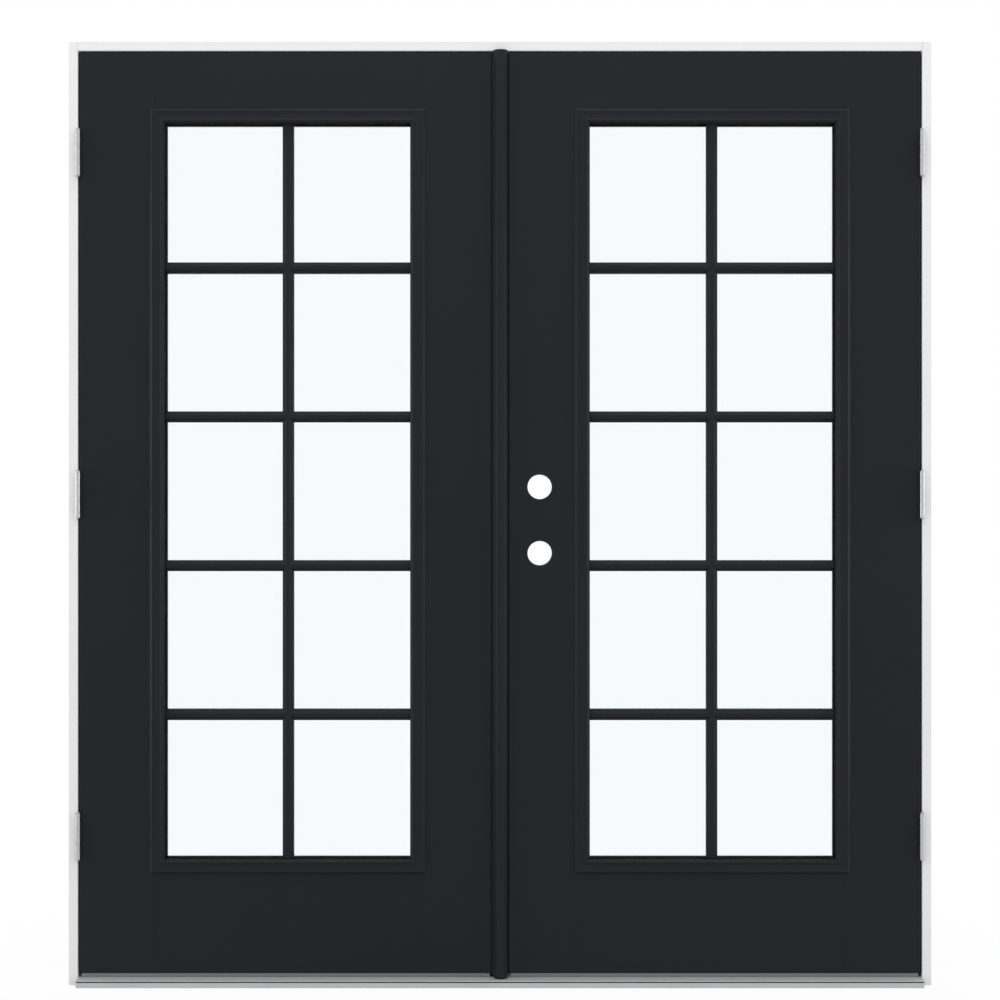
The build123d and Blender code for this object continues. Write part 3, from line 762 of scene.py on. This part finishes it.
# %% Glazing seals
bar_clearance = 0.2 * mm
leaves = ("active", "passive")
daylight = {}
for leaf in leaves:
    low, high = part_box(f"{leaf}_bars_outer")
    daylight[leaf] = (
        (low[0] - bar_clearance, 0, low[2] - bar_clearance),
        (high[0] + bar_clearance, 0, high[2] + bar_clearance),
    )
    outer_skin, outer_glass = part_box(f"{leaf}_outer_skin")[0][1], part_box(f"{leaf}_glass_outer")[0][1]
    inner_skin, inner_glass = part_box(f"{leaf}_inner_skin")[1][1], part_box(f"{leaf}_glass_inner")[1][1]
    for side, skin, glass_face, outward in (
        ("outer", outer_skin, outer_glass, -1),
        ("inner", inner_skin, inner_glass, 1),
    ):
        seal = glazing_seal(*daylight[leaf], skin, glass_face, outward)
        new_piece(f"{leaf}_glazing_seal_{side}", seal, f"{leaf}_leaf", rubber)
    low, high = daylight[leaf]
    print(leaf, "daylight:", round(high[0] - low[0], 4), "by", round(high[2] - low[2], 4), "m")

# %% [markdown]
# ## Screw plugs of the inner moulding
# The two moulded frames clamp the glass between them with screws from the inside, and small plugs hide
# the screw heads. They sit in the shallow cove of the inner frame, evenly spaced along each side.

# %% Screw plugs
plug_radius, plug_height, plug_rounding = 4.5 * mm, 1.4 * mm, 0.5 * mm
plug_inset = 18.5 * mm
cove_depth = 3.6 * mm
upright_spaces, level_spaces = 6, 3

for leaf in leaves:
    low, high = daylight[leaf]
    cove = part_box(f"{leaf}_lite_frame_inner")[1][1] - cove_depth
    plug = bmesh.new()
    bmesh.ops.create_cone(
        plug, cap_ends=True, segments=24, radius1=plug_radius, radius2=plug_radius, depth=plug_height
    )
    round_edges(plug, "z", plug_height / 2, offset=plug_rounding, segments=2)
    spots = []
    for i in range(upright_spaces + 1):
        z = low[2] + (high[2] - low[2]) * i / upright_spaces
        spots += [(low[0] - plug_inset, z), (high[0] + plug_inset, z)]
    for i in range(1, level_spaces):
        x = low[0] + (high[0] - low[0]) * i / level_spaces
        spots += [(x, low[2] - plug_inset), (x, high[2] + plug_inset)]
    placements = [Matrix.Translation((x, cove, z)) @ turn_back for x, z in spots]
    name = f"{leaf}_screw_plugs"
    new_piece(name, copies(plug, placements), f"{leaf}_leaf", moulding_paint)
    print(name, len(spots))

# %% [markdown]
# ## Fin of the meeting seal
# The solid seal on the astragal stops just short of the active leaf. The real one ends in a thin soft fin
# that touches the leaf's edge and closes the last of the gap against light. A long thin box with its tip
# rounded is enough for it. It starts a little inside the seal that carries it.

# %% Seal fin
seal_low, seal_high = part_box("astragal_seal")
fin_tip, fin_overlap = 18.0 * mm, 1 * mm
fin_thickness, fin_rounding = 1.2 * mm, 0.4 * mm
fin_middle = (seal_low[1] + seal_high[1]) / 2
long_edge = 0.1

fin = box_shape(
    Vector((seal_high[0] - fin_overlap, fin_middle - fin_thickness / 2, seal_low[2])),
    Vector((fin_tip, fin_middle + fin_thickness / 2, seal_high[2])),
)
round_edges(fin, "x", fin_tip, offset=fin_rounding, segments=2, least_length=long_edge)
new_piece("meeting_seal_fin", fin, "passive_leaf", rubber)
print("fin reaches:", round(fin_tip / mm, 1), "mm")

# %% [markdown]
# ## Fins of the sweeps
# Below each leaf the photograph shows a thin grey band before the deck begins. It is a vinyl fin that
# hangs on the front of the sweep and just clears the deck. Its lower edge is rounded.

# %% Sweep fins
deck_height = 17.2 * mm
sweep_fin_thickness, sweep_fin_rounding = 1.6 * mm, 0.6 * mm
deck_clearance, slab_clearance = 0.5 * mm, 0.6 * mm
end_gap = 1 * mm

for leaf in leaves:
    low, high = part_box(f"{leaf}_sweep")
    fin_low = Vector((low[0] + end_gap, low[1] - sweep_fin_thickness, deck_height + deck_clearance))
    fin_high = Vector((high[0] - end_gap, low[1], high[2] - slab_clearance))
    fin = box_shape(fin_low, fin_high)
    round_edges(fin, "z", fin_low.z, offset=sweep_fin_rounding, segments=3, least_length=long_edge)
    new_piece(f"{leaf}_sweep_fin", fin, f"{leaf}_leaf", vinyl)
    print(leaf, "fin:", round(fin_low.z / mm, 2), "to", round(fin_high.z / mm, 2), "mm")

# %% [markdown]
# ## Black strip in the nose of the sill: painted shade
# A black strip is pressed into the groove that runs along the nose. Its black is painted shade, put
# there for the shade inside the groove. Its head is a little wider than the groove and covers its edges,
# so it shows as a clear dark line.

# %% Nose strip of painted shade
deck_low, deck_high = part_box("sill_deck")
strip_foot, strip_top = 11.6 * mm, 13.9 * mm
strip_proud, strip_depth = 0.3 * mm, 2.0 * mm

strip_low = Vector((deck_low[0] + end_gap, deck_low[1] - strip_proud, strip_foot))
strip_high = Vector((deck_high[0] - end_gap, deck_low[1] + strip_depth, strip_top))
strip = box_shape(strip_low, strip_high)
round_edges(strip, "y", strip_low.y, offset=strip_proud, segments=2)
# The strip's black rubber is painted shade for the groove.
new_piece("sill_nose_shade_strip", strip, "frame", rubber)
print("strip length:", round(strip_high.x - strip_low.x, 3), "m")

# %% [markdown]
# ## Caps of the astragal
# The round-nosed bar between the leaves is an extrusion, so a moulded cap closes each end. A cap starts
# as the bar's outline, with eight corners, one half of them the mirror image of the other. It is pulled
# out and drawn together a little. The top cap is low and black. The bottom cap is taller and painted like
# the bar, and reaches down over the boot until it just clears the deck.

# %% Nose caps
nose_low, nose_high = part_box("astragal_nose")
nose_middle = (nose_low[0] + nose_high[0]) / 2
nose_half = (nose_high[0] - nose_low[0]) / 2
top_cap, bottom_cap = 1.3 * mm, 5.7 * mm
cap_back, cap_shoulder = -0.6 * mm, -7.4 * mm
cap_slope = (12.9 * mm, -12.2 * mm)
cap_front = (7.8 * mm, nose_low[1] + 0.1 * mm)
cap_draw = (0.84, 0.92, 1)
draw_centre = Matrix.Translation((0, 8 * mm, 0))

right_side = [(nose_half, cap_back), (nose_half, cap_shoulder), cap_slope, cap_front]
left_side = [(-x, y) for x, y in right_side]
for name, z, rise, material in (
    ("astragal_cap_top", nose_high[2], top_cap, rubber),
    ("astragal_cap_bottom", nose_low[2], -bottom_cap, metal_paint),
):
    cap = bmesh.new()
    base = cap.faces.new([cap.verts.new((x, y, z)) for x, y in left_side + right_side[::-1]])
    raised = verts_of(bmesh.ops.extrude_face_region(cap, geom=[base]))
    bmesh.ops.translate(cap, verts=raised, vec=(0, 0, rise))
    bmesh.ops.scale(cap, verts=raised, vec=cap_draw, space=draw_centre)
    bmesh.ops.translate(cap, verts=cap.verts, vec=(nose_middle, 0, 0))
    new_piece(name, cap, "passive_leaf", material)
    print(name, round(z, 4))

# %% [markdown]
# ## Strikes on the astragal
# The latch and the bolt of the active leaf enter two steel strikes on the astragal's edge, level with
# the two lock bores. Each is a plate whose middle face is inset and pushed in, which gives the pocket.

# %% Lock strikes
strike_width, strike_height, strike_thickness = 22 * mm, 57 * mm, 1.2 * mm
strike_border, pocket_share = 4.5 * mm, 0.9
strike_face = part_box("astragal_body")[1][0]
stile_low, stile_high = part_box("active_lock_stile")
strike_depth = (stile_low[1] + stile_high[1]) / 2
mount_height = {mount["name"]: mount["pos_m"][2] for mount in frame["record"]["mounts"]}
bore_heights = [mount_height["lockset_bore"], mount_height["deadbolt_bore"]]

strikes = bmesh.new()
for z in bore_heights:
    made = bmesh.ops.create_cube(
        strikes, size=1,
        matrix=Matrix.Translation((strike_face + strike_thickness / 2, strike_depth, z))
        @ Matrix.Diagonal((strike_thickness, strike_width, strike_height, 1)),
    )
    faces = {face for v in made["verts"] for face in v.link_faces}
    front = max(faces, key=lambda face: face.calc_center_median().x)
    bmesh.ops.inset_region(strikes, faces=[front], thickness=strike_border)
    pocket = verts_of(bmesh.ops.extrude_face_region(strikes, geom=[front]))
    bmesh.ops.delete(strikes, geom=[front], context="FACES")
    bmesh.ops.translate(strikes, verts=pocket, vec=(-pocket_share * strike_thickness, 0, 0))
new_piece("lock_strikes", strikes, "passive_leaf", zinc)
print("strikes at:", [round(z, 4) for z in bore_heights])

# %% Screws of the strikes
strike_screw_radius, strike_screw_proud = 2.6 * mm, 0.3 * mm
strike_screw_rise = 25.5 * mm

placements = []
for z in bore_heights:
    for rise in (-strike_screw_rise, strike_screw_rise):
        place = Matrix.Translation((strike_face + strike_thickness, strike_depth, z + rise))
        placements.append(place @ turn_right)
strike_screw = screw_head(strike_screw_radius, strike_screw_proud, segments=16)
new_piece("strike_screws", copies(strike_screw, placements), "passive_leaf", zinc)
print("strike screws:", len(placements))

# %% [markdown]
# ## Last update
# The view layer is brought up to date once more, so every piece stands where it was put.

# %% Last update
bpy.context.view_layer.update()
